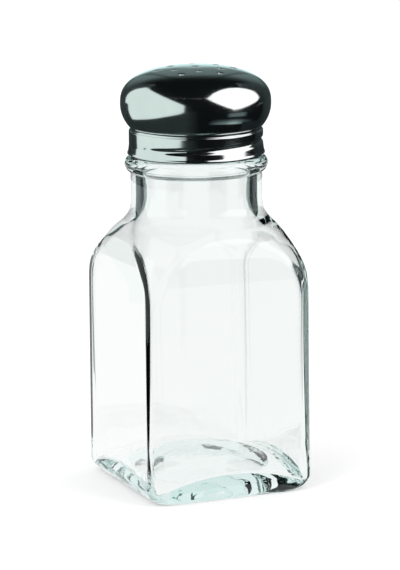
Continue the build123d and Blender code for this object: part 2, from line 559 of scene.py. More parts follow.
@dataclass(frozen=True)
class Glow:
    """A lit or dark card of the studio, even or fading along up to three measures.

    Each fade is a run of pairs, a place and the brightness there: the place is a direction
    in degrees, or a distance from the axis or a height, both in metres.
    """

    name: str
    colour: Colour
    by_turn: Fade = ()
    by_reach: Fade = ()
    by_height: Fade = ()
    farthest: float = 2.0

    def material(self) -> bpy.types.Material:
        """Builds the card's material.

        Returns:
            The material.
        """
        sketch = start_material(self.name)
        strength: Union[float, Socket] = 1.0
        for fade, share_of, ends in (
            (self.by_turn, self.turn_share, (-180.0, 180.0)),
            (self.by_reach, self.reach_share, (0.0, self.farthest)),
            (self.by_height, self.height_share, (0.0, self.farthest)),
        ):
            if fade:
                faded = self.faded(sketch, share_of(sketch), fade, ends)
                strength = sketch.math("MULTIPLY", strength, faded)
        light = sketch.node("ShaderNodeEmission", Color=(*self.colour, 1), Strength=strength)
        return sketch.close(light.outputs["Emission"])

    def faded(self, sketch: NodeSketch, share: Socket, fade: Fade, ends: Pair) -> Socket:
        """Brightness along a fade.

        Args:
            sketch: Nodes of the card.
            share: Where a point lies between the ends, from 0 to 1.
            fade: Places and the brightness there.
            ends: The places at 0 and at 1.

        Returns:
            The brightness.
        """
        ramp = sketch.node("ShaderNodeValToRGB", Fac=share)
        stops = ramp.color_ramp.elements
        for where, value in fade:
            stop = stops.new((where - ends[0]) / (ends[1] - ends[0]))
            stop.color = (value, value, value, 1)
        stops.remove(stops[0])
        stops.remove(stops[-1])
        return ramp.outputs["Color"]

    def turn_share(self, sketch: NodeSketch) -> Socket:
        """Direction about the axis, from 0 at -180 degrees to 1 at 180 degrees."""
        around = sketch.node("ShaderNodeTexGradient", gradient_type="RADIAL", Vector=sketch.place())
        return around.outputs["Fac"]

    def reach_share(self, sketch: NodeSketch) -> Socket:
        """Distance from the axis, as a share of the farthest.

        Args:
            sketch: Nodes of the card.

        Returns:
            The share.
        """
        flat = sketch.node("ShaderNodeMapping", Scale=(1, 1, 0), Vector=sketch.place())
        length = sketch.node("ShaderNodeVectorMath", operation="LENGTH")
        sketch.feed(length.inputs[0], flat.outputs["Vector"])
        return sketch.math("DIVIDE", length.outputs["Value"], self.farthest)

    def height_share(self, sketch: NodeSketch) -> Socket:
        """Height, as a share of the farthest."""
        return sketch.math("DIVIDE", sketch.height(), self.farthest)


def both_ways(fade: Fade) -> Fade:
    """A fade by direction that is the same to the left and to the right."""
    return tuple((-turn, value) for turn, value in reversed(fade)) + fade


def seat(piece: bpy.types.Object, material: bpy.types.Material, node: str, body: Body) -> None:
    """Dresses a piece and puts it in a node's place on its body.

    Args:
        piece: The new piece.
        material: Its material.
        node: CAD node that it stands for.
        body: Body that carries it.
    """
    piece.data.materials.append(material)
    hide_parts(node)
    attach(piece, body.value)
    log.info("%s: %d faces on body %s", piece.name, len(piece.data.polygons), body.value)


# ------------------------------------------------------------------ thread
@dataclass
class ThreadPath:
    """Right-handed screw line shared by the glass and the cap."""

    pitch: float = 3.5
    start_height: float = 91.7
    start_turn: float = 309.0 / 360.0
    near_turns: Tuple[int, int] = (-1, 4)  # whole turns on which a mark may lie

    def relief(
        self,
        angles: np.ndarray,
        height: float,
        offset: float,
        span: Pair,
        half_width: float,
        fades: Pair,
    ) -> np.ndarray:
        """How strongly a mark along the screw line shows on a surface, from 0 to 1.

        Args:
            angles: Directions of the points.
            height: Height of the points.
            offset: Height of the mark above the glass thread.
            span: Start and end of the mark, in turns from the start of the glass thread.
            half_width: Half of the width of the mark, along the axis.
            fades: Lengths of the run-out at the start and at the end, in turns.

        Returns:
            One value per point.
        """
        mark = np.zeros_like(angles)
        for turn in range(*self.near_turns):
            place = angles / FULL_TURN + turn - self.start_turn
            away = height - (self.start_height + self.pitch * place + offset)
            inside = np.clip(np.abs(away) / half_width, 0.0, 1.0)
            shape = 0.5 + 0.5 * np.cos(math.pi * inside)
            ends = ease((place - span[0]) / fades[0]) * ease((span[1] - place) / fades[1])
            mark = np.maximum(mark, shape * ends)
        return mark


# ------------------------------------------------------------------ jar
@dataclass
class GlassJar:
    """Hollow glass jar: one closed skin, outside and inside."""

    thread: ThreadPath
    base_side: float = 46.9
    top_side: float = 46.6
    corner: float = 3.2
    heel_x: float = 5.0
    heel_y: float = 1.4
    heel_height: float = 4.4
    heel_steps: int = 10
    foot_corner: float = 4.6
    rim_shares: Pair = (0.33, 0.67)  # loops across the resting rim
    shoulder_height: float = 63.1
    neck_height: float = 74.0
    shoulder_round: float = 23.4
    neck_round: float = 7.4
    neck_radius: float = 17.7
    arch_blend: Pair = (8.0, 4.0)  # softness of the top edges of the sides, low and high
    arch_levels: Pair = (68.0, 76.0)
    corner_spare: float = 1.2  # how far the corners stand past the turned shoulder
    spare_levels: Pair = (68.0, 62.0)
    least_flat: float = 0.001  # what stays flat between two corners
    corner_growth: float = 6.0  # how much rounder the corners get below the shoulder's slope
    growth_levels: Pair = (58.0, 67.0)
    crease_blend: float = 0.8
    shoulder_dip: float = 0.8  # how far the shoulder is drawn in half way up
    dip_in: Pair = (58.0, 65.0)
    dip_out: Pair = (76.0, 64.0)
    wall_top: float = 2.1
    wall_base: float = 1.6
    inside_corner: float = 1.4
    shoulder_wall: float = 2.3
    shoulder_drop: float = 0.6  # the inside of the shoulder lies this much lower
    neck_wall: float = 3.4
    floor_height: float = 9.8
    floor_ball: float = 64.0
    floor_round: float = 1.6
    floor_round_steps: int = 9
    floor_steps: int = 14
    push_up_radius: float = 16.95
    push_up_depth: float = 4.5
    push_up_steps: int = 16
    bead_middle: Pair = (17.0, 87.25)
    bead_round: float = 2.15
    bead_fillet: float = 0.35
    bead_steps: int = 30
    small_steps: int = 6  # round the bead's fillets and the edges of the rim
    finish_radius: float = 16.0
    finish_steps: int = 34
    bore_radius: float = 14.1
    bore_levels: Triple = (96.0, 94.0, 92.0)
    bore_steps: int = 8
    rim_height: float = 98.0
    rim_round: float = 0.7
    ridge_reach: float = 1.05
    ridge_half_width: float = 1.05
    ridge_span: Pair = (-0.02, 1.12)
    ridge_fades: Pair = (0.06, 0.06)
    # first and last height of each run of loops, and the distance between them
    outside_spans: Tuple[Triple, ...] = ((6.0, 53.5, 2.9), (54.5, 78.2, 0.6), (80.0, 84.5, 1.5))
    inside_spans: Tuple[Triple, ...] = ((85.5, 79.0, 1.6), (78.4, 46.0, 0.55), (44.0, 12.5, 2.6))
    columns_flat: int = 60
    columns_corner: int = 50
    corner_sector: float = math.radians(6.0)
    angles: np.ndarray = field(init=False)

    def __post_init__(self) -> None:
        """Spreads the columns, denser round the four corners."""
        quarter: List[float] = []
        for middle, half, count in (
            (0.0, QUARTER / 2 - self.corner_sector, self.columns_flat),
            (QUARTER / 2, self.corner_sector, self.columns_corner),
        ):
            quarter += [middle - half + 2 * half * step / count for step in range(count)]
        turns = [angle + QUARTER * side for side in range(4) for angle in quarter]
        self.angles = np.array(turns) % FULL_TURN

    def half_side(self, height: float) -> float:
        """Half of the width across the flats at a height, below the shoulder."""
        share = height / self.shoulder_height
        return (self.base_side + (self.top_side - self.base_side) * share) / 2

    def corner_distance(self) -> float:
        """Reach of the upright corners, outside."""
        return (self.base_side / 2 - self.corner) * math.sqrt(2) + self.corner

    def shoulder_reach(self, height: float, low: float, high: float, rounds: Pair) -> float:
        """Radius of the turned shoulder at a height.

        Args:
            height: Level asked for.
            low: Radius below the slope.
            high: Radius above the slope.
            rounds: Radii of the rounding below and above the slope.

        Returns:
            The radius there.
        """
        slope = math.atan2(low - high, self.neck_height - self.shoulder_height)
        cut_low = rounds[0] * math.tan(slope / 2)
        cut_high = rounds[1] * math.tan(slope / 2)
        if height <= self.shoulder_height - cut_low:
            return low
        if height >= self.neck_height + cut_high:
            return high
        if height < self.shoulder_height + cut_low * math.cos(slope):
            rise = height - (self.shoulder_height - cut_low)
            return low - rounds[0] + math.sqrt(rounds[0] ** 2 - rise**2)
        if height > self.neck_height - cut_high * math.cos(slope):
            drop = self.neck_height + cut_high - height
            return high + rounds[1] - math.sqrt(rounds[1] ** 2 - drop**2)
        return low - (height - self.shoulder_height) * math.tan(slope)

    def outside(self, height: float) -> np.ndarray:
        """Reach of the body, shoulder or neck at a height, outside.

        Args:
            height: Level of the section.

        Returns:
            The reach in each direction.
        """
        turned = self.shoulder_reach(
            height, self.corner_distance(), self.neck_radius, (self.shoulder_round, self.neck_round)
        )
        dip = growing(height, *self.dip_in) * growing(height, *self.dip_out)
        turned -= self.shoulder_dip * dip
        return self.soft_square(height, self.half_side(height), self.corner, turned)

    def inside(self, height: float) -> np.ndarray:
        """Reach of the hollow at a height.

        Args:
            height: Level of the section.

        Returns:
            The reach in each direction.
        """
        share = height / self.shoulder_height
        low = self.base_side / 2 - self.wall_base
        high = self.top_side / 2 - self.wall_top
        turned = self.shoulder_reach(
            height + self.shoulder_drop,
            self.corner_distance() - self.shoulder_wall,
            self.neck_radius - self.neck_wall,
            (self.shoulder_round - self.shoulder_wall, self.neck_round + self.shoulder_wall),
        )
        return self.soft_square(height, low + (high - low) * share, self.inside_corner, turned)

    def soft_square(self, height: float, half: float, corner: float, turned: float) -> np.ndarray:
        """Reach of a level section: a square whose corners grow rounder as the shoulder draws in.

        Args:
            height: Level of the section.
            half: Half of the width across the flats, below the shoulder.
            corner: Radius of the upright corners below the shoulder.
            turned: Reach of the shoulder at this level, at the corners.

        Returns:
            The reach in each direction.
        """
        soft_low, soft_high = self.arch_blend
        blend = soft_low + (soft_high - soft_low) * growing(height, *self.arch_levels)
        side = smooth_least(half, turned, blend)
        spare = self.corner_spare * growing(height, *self.spare_levels)
        opened = corner + self.corner_growth * growing(height, *self.growth_levels)
        meeting = (side * math.sqrt(2) - turned - spare) / (math.sqrt(2) - 1)
        round_corner = min(max(meeting, opened), side - self.least_flat)
        square = oblong_reach(self.angles, side, side, round_corner)
        return smooth_least(square, turned + self.crease_blend / 4, self.crease_blend)

    def foot(self, skin: LoopMesh) -> None:
        """Hollow base, resting rim and heel.

        Args:
            skin: Skin of the jar, still empty.
        """
        ball = (self.push_up_radius**2 + self.push_up_depth**2) / (2 * self.push_up_depth)
        skin.pole(self.push_up_depth)
        for radius in evenly(0.0, self.push_up_radius, self.push_up_steps)[1:]:
            height = self.push_up_depth - ball + math.sqrt(ball**2 - radius**2)
            skin.loop(radius, max(height, 0.0))
        edge, level = self.heel_loop(0.0)
        for share in self.rim_shares:
            skin.loop(self.push_up_radius * (1 - share) + edge * share, level)
        for turn in evenly(0.0, QUARTER, self.heel_steps):
            skin.loop(*self.heel_loop(turn))

    def heel_loop(self, turn: float) -> Tuple[np.ndarray, float]:
        """Reach and height of the rounding under the sides.

        Args:
            turn: From 0 at the resting plane to a quarter turn at the upright sides.

        Returns:
            The reach in each direction, and the height.
        """
        share = 1 - math.sin(turn)
        height = self.heel_height * (1 - math.cos(turn))
        half = self.half_side(height)
        corner = self.corner + (self.foot_corner - self.corner) * share
        half_x = half - self.heel_x * share
        half_y = half - self.heel_y * share
        return oblong_reach(self.angles, half_x, half_y, corner), height

    def bead_profile(self) -> Profile:
        """Half section of the bead with its fillets to the neck and to the finish.

        Returns:
            Its points, from the neck up.
        """
        reach = self.bead_round + self.bead_fillet
        turns: List[float] = []
        centres: Profile = []
        for hand, radius in ((-1, self.neck_radius), (1, self.finish_radius)):
            turn = hand * math.acos((radius + self.bead_fillet - self.bead_middle[0]) / reach)
            turns.append(turn)
            centres.append(round_point(reach, turn, self.bead_middle))
        low_turn, high_turn = turns
        fillet, steps = self.bead_fillet, self.small_steps
        points = arc_points(centres[0], fillet, math.pi, math.pi + low_turn, steps)
        points += arc_points(self.bead_middle, self.bead_round, low_turn, high_turn, self.bead_steps)[1:]
        return points + arc_points(centres[1], fillet, math.pi + high_turn, math.pi, steps)[1:]

    def finish(self, skin: LoopMesh, start: float) -> None:
        """Threaded wall above the bead, and the rim.

        Args:
            skin: Skin of the jar.
            start: Height where the bead ends.
        """
        top = self.rim_height - self.rim_round
        for height in evenly(start, top, self.finish_steps)[1:]:
            mark = self.thread.relief(
                self.angles, height, 0.0, self.ridge_span, self.ridge_half_width, self.ridge_fades
            )
            skin.loop(self.finish_radius + self.ridge_reach * mark, height)
        outer = (self.finish_radius - self.rim_round, top)
        inner = (self.bore_radius + self.rim_round, top)
        rim = arc_points(outer, self.rim_round, 0.0, QUARTER, self.small_steps)[1:]
        rim += arc_points(inner, self.rim_round, QUARTER, math.pi, self.small_steps)
        for radius, height in rim:
            skin.loop(radius, height)

    def hollow(self, skin: LoopMesh) -> None:
        """Bore, neck, shoulder, walls and floor, from the rim down.

        Args:
            skin: Skin of the jar.
        """
        for height in self.bore_levels:
            skin.loop(self.bore_radius, height)
        widening = self.neck_radius - self.neck_wall - self.bore_radius
        drop = self.bead_middle[1] - self.thread.start_height
        for share in evenly(0.0, 1.0, self.bore_steps):
            height = self.thread.start_height + drop * share
            skin.loop(self.bore_radius + widening * ease(share), height)
        for span in self.inside_spans:
            for height in levels(*span):
                skin.loop(self.inside(height), height)
        low = self.base_side / 2 - self.wall_base
        wall = oblong_reach(self.angles, low, low, self.inside_corner)
        for turn in evenly(0.0, QUARTER, self.floor_round_steps):
            edge = wall - self.floor_round * (1 - math.cos(turn))
            skin.loop(edge, self.floor_level(edge) + self.floor_round * (1 - math.sin(turn)))
        for share in evenly(1.0, 0.0, self.floor_steps)[1:-1]:
            reach = share * (edge * share + low * (1 - share))
            skin.loop(reach, self.floor_level(reach))
        skin.pole(self.floor_height)

    def floor_level(self, reach: np.ndarray) -> np.ndarray:
        """Height of the domed inside floor at a distance from the axis."""
        return self.floor_height - self.floor_ball + np.sqrt(self.floor_ball**2 - reach**2)

    def build(self) -> None:
        """Builds the jar and puts it in its node's place."""
        skin = LoopMesh(self.angles)
        self.foot(skin)
        for span in self.outside_spans:
            for height in levels(*span):
                skin.loop(self.outside(height), height)
        bead = self.bead_profile()
        for radius, height in bead:
            skin.loop(radius, height)
        self.finish(skin, bead[-1][1])
        self.hollow(skin)
        piece = skin.make("glass_jar_blown")
        seat(piece, ClearGlass().material(), "glass_jar", Body.JAR)


# ------------------------------------------------------------------ cap
@dataclass
class ShakerCap:
    """Stamped cap: dome with pouring holes, neck, rolled thread and rolled hem."""

    thread: ThreadPath
    sheet: float = 0.45
    skirt_radius: float = 17.9
    skirt_spacing: float = 0.16
    hem_middle: Pair = (17.85, 90.127)
    hem_round: float = 0.5
    hem_start: float = 0.9  # direction where the curl leaves the skirt, in radians
    hem_steps: int = 14
    flare_length: float = 2.3
    flare_reach: float = 0.3
    neck_radius: float = 17.55
    neck_draw: float = 0.9
    neck_crease: float = 0.4  # height of the step below the neck, the last part of the draw
    neck_steps: int = 8
    dome_radius: float = 20.1
    dome_height: float = 103.304
    dome_rise: float = 9.7
    dome_steps: int = 30
    fullness: float = 2.55
    under_round: float = 9.0
    under_steps: int = 22
    groove_depth: float = 0.6
    groove_half_width: float = 1.1
    groove_spread: float = 0.6  # part of the sheet by which the groove is wider inside
    groove_span: Pair = (-0.33, 0.59)
    groove_fades: Pair = (0.13, 0.1)
    hole_radius: float = 0.6
    hole_columns: int = 28
    hole_ratios: Tuple[float, ...] = (1.0, 1.1, 1.25, 1.5, 1.8, 2.1, 2.5, 3.0)
    dimple_radius: float = 1.35
    dimple_depth: float = 0.2
    inner_ring: Pair = (7.1, 15.6)
    outer_ring: Pair = (10.3, 46.6)
    per_ring: int = 6
    patch_radius: float = 13.0
    patch_spacing: float = 0.5
    patch_gaps: Pair = (0.6, 0.5)  # to the points round a hole and to the edge, in spacings
    columns: int = 288
    angles: np.ndarray = field(init=False)
    holes: Profile = field(init=False)

    def __post_init__(self) -> None:
        """Spreads the columns evenly and places the holes."""
        self.angles = np.arange(self.columns) * FULL_TURN / self.columns
        self.holes = [(0.0, 0.0)]
        for radius, first in (self.inner_ring, self.outer_ring):
            for step in range(self.per_ring):
                angle = math.radians(first + 360 / self.per_ring * step)
                self.holes.append(round_point(radius, angle))

    def nearest_hole(self, x: float, y: float) -> float:
        """Distance to the middle of the nearest hole."""
        return min(math.hypot(x - hole_x, y - hole_y) for hole_x, hole_y in self.holes)

    def top(self, flat: np.ndarray, inset: float) -> np.ndarray:
        """Points of the dome with its dimples.

        Args:
            flat: Their places seen from above.
            inset: How far they are moved in, by part of the sheet.

        Returns:
            One row per point.
        """
        x, y = flat[:, 0], flat[:, 1]
        share = np.clip(np.hypot(x, y) / (self.dome_radius - inset), 0.0, 1.0) ** self.fullness
        height = self.dome_height + (self.dome_rise - inset) * (1 - share) ** (1 / self.fullness)
        for hole_x, hole_y in self.holes:
            away = np.clip(np.hypot(x - hole_x, y - hole_y) / self.dimple_radius, 0.0, 1.0)
            height = height - self.dimple_depth * (1 - away**2) ** 2
        return np.column_stack([flat, height])

    def side_profile(self, inset: float) -> Profile:
        """Half section of the cap, from the edge of the top patch down to the hem.

        Args:
            inset: How far it is moved in, by part of the sheet.

        Returns:
            Its points.
        """
        reach = self.dome_radius - inset
        rise = self.dome_rise - inset
        start = math.asin((self.patch_radius / reach) ** (self.fullness / 2))
        points: Profile = []
        for turn in evenly(start, QUARTER, self.dome_steps)[1:]:
            radius = reach * math.sin(turn) ** (2 / self.fullness)
            height = self.dome_height + rise * max(math.cos(turn), 0.0) ** (2 / self.fullness)
            points.append((radius, height))
        under = self.under_round - inset
        neck = self.neck_radius - inset
        turn_end = -math.acos((under - reach + neck) / under)
        middle = (reach - under, self.dome_height)
        points += arc_points(middle, under, 0.0, turn_end, self.under_steps)[1:]
        step_top = points[-1][1] - self.neck_draw + self.neck_crease
        skirt = self.skirt_radius - inset
        for share in evenly(0.0, 1.0, self.neck_steps):
            points.append((neck + (skirt - neck) * ease(share), step_top - self.neck_crease * share))
        flare_top = self.hem_middle[1] + self.flare_length
        for height in levels(points[-1][1], flare_top, self.skirt_spacing)[1:]:
            points.append((skirt, height))
        hem_top = self.hem_middle[1] + self.hem_round
        for height in levels(flare_top, hem_top, self.skirt_spacing)[1:]:
            share = (flare_top - height) / self.flare_length
            points.append((skirt + self.flare_reach * share, height))
        return points

    def side_loops(self) -> List[np.ndarray]:
        """Skin of the side of the cap.

        Returns:
            Loops of points, down the outside, round the hem and up the inside.
        """
        depth = self.groove_depth
        wide = self.groove_half_width + self.sheet * self.groove_spread
        curl = arc_points(self.hem_middle, self.hem_round, self.hem_start, -math.pi, self.hem_steps)
        path = [(point, depth, self.groove_half_width) for point in self.side_profile(0.0)]
        path += [(point, 0.0, 1.0) for point in curl]
        path += [(point, depth, wide) for point in reversed(self.side_profile(self.sheet))]
        loops: List[np.ndarray] = []
        for (radius, height), groove, half_width in path:
            offset = self.thread.pitch / 2
            mark = self.thread.relief(
                self.angles, height, offset, self.groove_span, half_width, self.groove_fades
            )
            loops.append(loop_points(self.angles, radius - groove * mark, height))
        return loops

    def hole_points(self) -> Tuple[Profile, List[List[int]]]:
        """Places round the holes.

        Returns:
            The places, and the numbers of those on each hole's own edge.
        """
        points: Profile = []
        edges: List[List[int]] = []
        around = self.hole_columns
        for hole in self.holes:
            edges.append(list(range(len(points), len(points) + around)))
            for number, ratio in enumerate(self.hole_ratios):
                shift = 0.5 if number > 1 else 0.0
                for step in range(around):
                    turn = FULL_TURN * (step + shift) / around
                    points.append(round_point(self.hole_radius * ratio, turn, hole))
        return points, edges

    def grid_points(self) -> Profile:
        """Triangular grid over the top.

        Returns:
            Its places, clear of the holes and of the edge.
        """
        spacing = self.patch_spacing
        count = int(self.patch_radius / spacing) + 1
        hole_gap, edge_gap = self.patch_gaps
        clear = self.hole_radius * self.hole_ratios[-1] + hole_gap * spacing
        points: Profile = []
        for row in range(-count, count + 1):
            for col in range(-count, count + 1):
                x = (col + 0.5 * (row % 2)) * spacing
                y = row * spacing * math.sqrt(3) / 2
                inside = math.hypot(x, y) < self.patch_radius - edge_gap * spacing
                if inside and self.nearest_hole(x, y) > clear:
                    points.append((x, y))
        return points

    def patch(self) -> Tuple[np.ndarray, List[Loop], List[List[int]]]:
        """Flat pattern of the top.

        Returns:
            The places, the faces between them, and the loop of points round each hole.
        """
        points = [round_point(self.patch_radius, angle) for angle in self.angles]
        around_holes, edges = self.hole_points()
        hole_loops = [[self.columns + index for index in edge] for edge in edges]
        points += around_holes + self.grid_points()
        outlines = [list(range(self.columns))] + [list(reversed(loop)) for loop in hole_loops]
        vectors = [Vector(point) for point in points]
        verts, _, faces, *_ = delaunay_2d_cdt(vectors, [], outlines, 1, TINY)
        flat = np.array([tuple(vert) for vert in verts])
        least = self.hole_radius * math.cos(math.pi / self.hole_columns) - TINY
        kept = [face for face in faces if self.nearest_hole(*flat[list(face)].mean(axis=0)) > least]
        return flat, kept, hole_loops

    def build(self) -> None:
        """Builds the cap and puts it in its node's place."""
        flat, top_faces, hole_loops = self.patch()
        count = len(flat)
        points = [self.top(flat, 0.0), self.top(flat, self.sheet)]
        faces: List[Loop] = [tuple(face) for face in top_faces]
        faces += [tuple(count + index for index in reversed(face)) for face in top_faces]
        for loop in hole_loops:
            faces += band(loop, [count + index for index in loop])
        total = 2 * count
        last = list(range(self.columns))
        inner_rim = [count + index for index in last]
        for loop in self.side_loops():
            points.append(loop)
            ring = list(range(total, total + self.columns))
            total += self.columns
            faces += band(last, ring, flipped=True)
            last = ring
        faces += band(last, inner_rim, flipped=True)
        piece = mesh_object("shaker_cap_stamped", np.vstack(points), faces)
        seat(piece, PolishedSteel().material(), "shaker_cap", Body.CAP)


# ------------------------------------------------------------------ sealing ring
@dataclass
class SealingRing:
    """Thin washer with rounded edges, over the glass rim."""

    inner: float = 13.7
    edge_round: float = 0.35
    edge_steps: int = 5
    columns: int = 192

    def build(self) -> None:
        """Builds the washer from its node's box and puts it in its place."""
        low, high = (Vector(corner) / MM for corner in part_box("sealing_ring"))
        skin = LoopMesh(np.arange(self.columns) * FULL_TURN / self.columns)
        edge = self.edge_round
        far, near = high.x - edge, self.inner + edge
        bottom, top = low.z + edge, high.z - edge
        profile: Profile = []
        for turn, middle in enumerate(((far, bottom), (far, top), (near, top), (near, bottom))):
            profile += arc_points(middle, edge, QUARTER * (turn - 1), QUARTER * turn, self.edge_steps)
        loops = [skin.loop(radius, height) for radius, height in profile]
        skin.close_to(loops[0])
        piece = skin.make("sealing_ring_moulded")
        seat(piece, MilkyPlastic().material(), "sealing_ring", Body.RING)


# ------------------------------------------------------------------ studio
@dataclass
class Camera:
    """Long lens, looking down on the shaker past one upright corner."""

    heading: float = math.radians(22.59)
    distance: float = 900.0
    height: float = 240.13
    aim_side: float = 0.6633
    aim_height: float = 53.768
    roll: float = -0.0104
    focal_pixels: float = 3421.55
    image_height: int = 570
    sensor: float = 36.0

    def build(self) -> None:
        """Makes the camera and sets it as the scene's."""
        forward_flat = Vector((math.sin(self.heading), math.cos(self.heading), 0))
        side = Vector((math.cos(self.heading), -math.sin(self.heading), 0))
        place = -forward_flat * self.distance + Vector((0, 0, self.height))
        aim = side * self.aim_side + Vector((0, 0, self.aim_height))
        forward = (aim - place).normalized()
        right = forward.cross(Vector((0, 0, 1))).normalized()
        up = right.cross(forward)
        turned_right = right * math.cos(self.roll) + up * math.sin(self.roll)
        turned_up = up * math.cos(self.roll) - right * math.sin(self.roll)
        turn = Matrix((turned_right, turned_up, -forward)).transposed()
        data = bpy.data.cameras.new("camera")
        data.lens = self.focal_pixels / self.image_height * self.sensor
        data.sensor_width = self.sensor
        data.clip_end = 50
        camera = add_object("camera", data)
        camera.matrix_world = Matrix.Translation(place * MM) @ turn.to_4x4()
        bpy.context.scene.camera = camera


@dataclass
class Studio:
    """Pale floor, white surroundings, soft lamps, and the cards that metal and glass pick up.

    Its places are in metres. Directions are degrees to the right of the side that the shaker
    is seen from.
    """

    camera_heading: float
    floor_size: float = 12.0
    floor_white: float = 0.93
    floor_lift: float = 0.3  # what the floor adds to its lamplight for the camera
    shade_kept: float = 0.8  # how much of the floor's shade shows through the glass
    world_light: float = 0.75
    wall_reach: float = 1.4
    ceiling: float = 1.6
    cap_level: float = 0.104
    front_turns: Pair = (-60, 104)  # directions of the dim floor round the front
    inner_reach: float = 0.03
    clear_strip: float = 0.035  # half width of the white strips that the flat glass mirrors
    strip_turn: float = 135.0  # direction of the white strips at the back, left and right
    strip_start: float = 0.1
    front_start: float = 0.09
    edge_start: float = 0.106
    edge_half: float = 19.5  # half of each dark sector, in degrees
    edge_fade: float = 3.0
    edge_reach: float = 0.42  # where the dark floor closes over the white strips
    far_level: float = 0.0007
    near_level: float = 0.0009
    dusk_level: float = 0.001
    soft_level: float = 0.0013
    facet: float = 5.0  # of the curved walls, in degrees
    least_facets: int = 4
    sector_steps: int = 24
    lamp_aim: Triple = (0, 0, 0.05)
    collar_reach: float = 0.0196
    collar_end: float = 0.3
    collar_side: Pair = (124.5, 0.0176)  # direction of its straight edge, and its step aside
    collar_levels: Pair = (0.082, 0.0888)
    collar_turns: Triple = (126, 147, 168)  # directions of the edges between its level parts
    room_tint: Colour = (0.74, 1.0, 0.99)
    glass_tint: Colour = (0.68, 1.0, 0.98)
    glass_dark: float = 0.035
    left_box: Pair = (0.2, -95.0)  # how far away the left softbox stands, and in which direction
    left_box_sides: Pair = (-0.7, 4.7)  # its ends, as multiples of that distance
    left_box_levels: Pair = (0.002, 0.34)
    box_away: float = 0.6
    # corners of the right softbox: direction, and angle above the cap's level
    box_corners: Tuple[Pair, ...] = (
        (21, 44), (28, 28), (37, 13), (47.5, 1.5), (59, -6), (73, -5), (106, 3.5),
        (114, 9), (119, 30), (122, 51), (118, 61), (94, 68), (49, 65),
    )

    def spot(self, turn: float, reach: float, level: float) -> Vector:
        """Place at a direction, a distance from the axis and a height."""
        return Vector((*round_point(reach, math.radians(turn)), level))

    def beside(self, turn: float, aside: float, along: float, level: float) -> Vector:
        """Place along a direction and a step aside from it, at a height."""
        away = math.degrees(math.atan2(aside, along))
        return self.spot(turn + away, math.hypot(aside, along), level)

    def leaning(self, turn: float, lift: float, away: float) -> Vector:
        """Place at a direction, an angle above the cap's level and a distance from the cap."""
        rise = math.radians(lift)
        return self.spot(turn, away * math.cos(rise), self.cap_level + away * math.sin(rise))

    def panel(
        self,
        name: str,
        points: Sequence[Vector],
        faces: Sequence[Loop],
        finish: Glow,
        sees: Sees = Sees.MIRRORS,
    ) -> None:
        """Adds a card of any shape, hidden from the camera.

        Args:
            name: Name of the card.
            points: Its points.
            faces: Point indices of each face.
            finish: What the card shows.
            sees: Which rays meet it.
        """
        mesh = bpy.data.meshes.new(name)
        mesh.from_pydata([tuple(point) for point in points], [], [tuple(face) for face in faces])
        mesh.materials.append(finish.material())
        card = add_object(name, mesh)
        card.rotation_euler = (0, 0, -QUARTER - self.camera_heading)
        card.visible_camera = False
        card.visible_diffuse = False
        card.visible_shadow = False
        card.visible_volume_scatter = False
        card.visible_glossy = sees is Sees.MIRRORS
        card.visible_transmission = sees is Sees.GLASS

    def card(
        self, name: str, rows: Sequence[Sequence[Vector]], finish: Glow, sees: Sees = Sees.MIRRORS
    ) -> None:
        """Adds a card spanned between two rows of points.

        Args:
            name: Name of the card.
            rows: The two edges, each with the same number of points.
            finish: What the card shows.
            sees: Which rays meet it.
        """
        count = len(rows[0])
        faces = [(i, i + 1, count + i + 1, count + i) for i in range(count - 1)]
        self.panel(name, [point for row in rows for point in row], faces, finish, sees)

    def wall(
        self, name: str, turns: Pair, reach: float, finish: Glow, sees: Sees = Sees.MIRRORS
    ) -> None:
        """Adds an upright curved card at a distance from the axis, from the floor to the ceiling.

        Args:
            name: Name of the card.
            turns: Its first and last direction.
            reach: Distance from the axis.
            finish: What the card shows.
            sees: Which rays meet it.
        """
        count = max(self.least_facets, round((turns[1] - turns[0]) / self.facet))
        steps = evenly(*turns, count)
        heights = (self.dusk_level, self.ceiling)
        rows = [[self.spot(turn, reach, level) for turn in steps] for level in heights]
        self.card(name, rows, finish, sees)

    def sector(
        self,
        name: str,
        turns: Pair,
        span: Pair,
        level: float,
        finish: Glow,
        sees: Sees = Sees.MIRRORS,
    ) -> None:
        """Adds a level card between two directions and two distances from the axis.

        Args:
            name: Name of the card.
            turns: The directions.
            span: The distances.
            level: Height of the card.
            finish: What the card shows.
            sees: Which rays meet it.
        """
        steps = evenly(*turns, self.sector_steps)
        rows = [[self.spot(turn, reach, level) for turn in steps] for reach in span]
        self.card(name, rows, finish, sees)

    def floor(self) -> None:
        """Adds the white table top, which keeps the shaker's shadow."""
        half = self.floor_size / 2
        corners = [(-half, -half, 0), (half, -half, 0), (half, half, 0), (-half, half, 0)]
        mesh = bpy.data.meshes.new("table")
        mesh.from_pydata(corners, [], [(0, 1, 2, 3)])
        sketch = start_material("table_white")
        rays = sketch.node("ShaderNodeLightPath").outputs
        direct = sketch.math("MAXIMUM", rays["Is Camera Ray"], rays["Is Transmission Ray"])
        lifted = sketch.math("MULTIPLY", direct, self.floor_lift)
        paint = sketch.node("ShaderNodeBsdfDiffuse", Color=(*[self.floor_white] * 3, 1))
        lift = sketch.node("ShaderNodeEmission", Color=WHITE, Strength=lifted)
        lit = sketch.join("ShaderNodeAddShader", paint.outputs["BSDF"], lift.outputs["Emission"])
        through = sketch.math("MULTIPLY", rays["Is Transmission Ray"], 1 - self.shade_kept)
        seen = sketch.math("MAXIMUM", rays["Is Glossy Ray"], through)
        plain = sketch.node("ShaderNodeEmission", Color=WHITE, Strength=1.0).outputs["Emission"]
        mesh.materials.append(sketch.close(sketch.join("ShaderNodeMixShader", lit, plain, Fac=seen)))
        add_object("table", mesh)

